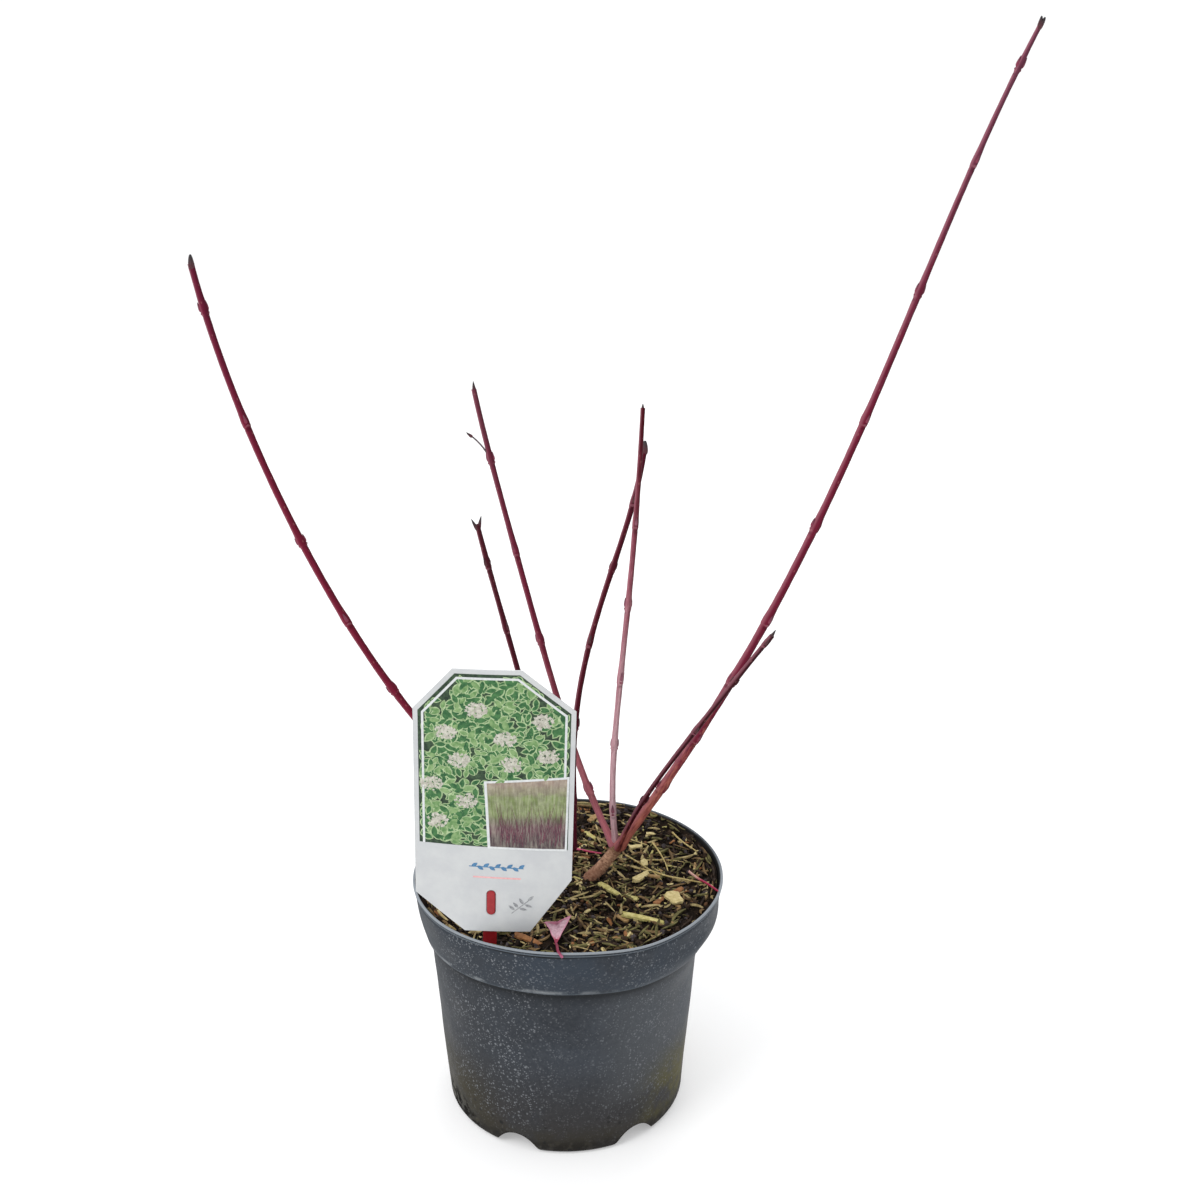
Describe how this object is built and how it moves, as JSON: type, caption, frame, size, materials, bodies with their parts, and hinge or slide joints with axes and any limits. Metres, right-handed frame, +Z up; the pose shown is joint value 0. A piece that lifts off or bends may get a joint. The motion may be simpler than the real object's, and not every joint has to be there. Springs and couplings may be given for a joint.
{
  "type": "potted tatarian dogwood",
  "caption": "Young bare tatarian dogwood shrub in winter: thin red stems from short brown trunks, in a round nursery pot of soil with a blank picture label on a stake.",
  "frame": {"origin": "middle of the pot's flat underside, on the ground", "axes": "+Z up, -Y towards the side with the label, +X to the right as seen from that side"},
  "size_m": [0.4018, 0.1721, 0.581],
  "materials": {
    "pot_plastic": "weathered dark blue-grey plastic, dusty, with water stains",
    "potting_soil": "dark crumbly bark and peat compost with pale fibres",
    "trunk_bark": "rough orange-brown ringed bark",
    "red_bark": "smooth crimson bark, dull pink lower down",
    "rose_bark": "smooth dull rose bark",
    "dark_bark": "smooth dark maroon bark",
    "red_twigs": "smooth wine-red twigs with dark buds",
    "rose_twigs": "smooth rose-red twigs with dark buds",
    "dark_twigs": "smooth dark maroon twigs with dark buds",
    "label_card": "printed semi-matt plastic card",
    "label_stake": "red moulded plastic",
    "fallen_leaf": "dry pink leaf with crimson edges",
    "fallen_stalks": "dry pink and red leaf stalks"
  },
  "bodies": {
    "root": {"pot": "pot_plastic", "soil": "potting_soil", "trunk_right": "trunk_bark", "trunk_left": "trunk_bark", "long_right": "red_bark", "long_right_twigs": "red_twigs", "mid_left": "red_bark", "mid_left_twigs": "red_twigs", "middle": "rose_bark", "middle_twigs": "rose_twigs", "low_right": "dark_bark", "low_right_twigs": "dark_twigs", "long_left": "red_bark", "long_left_twigs": "red_twigs", "dark_middle": "dark_bark", "dark_middle_twigs": "dark_twigs", "short_dark": "dark_bark", "short_dark_twigs": "dark_twigs", "label_card": "label_card", "label_stake": "label_stake", "fallen_leaf": "fallen_leaf", "fallen_stalk_right": "fallen_stalks", "fallen_stalk_left": "fallen_stalks"}
  },
  "joints": []
}
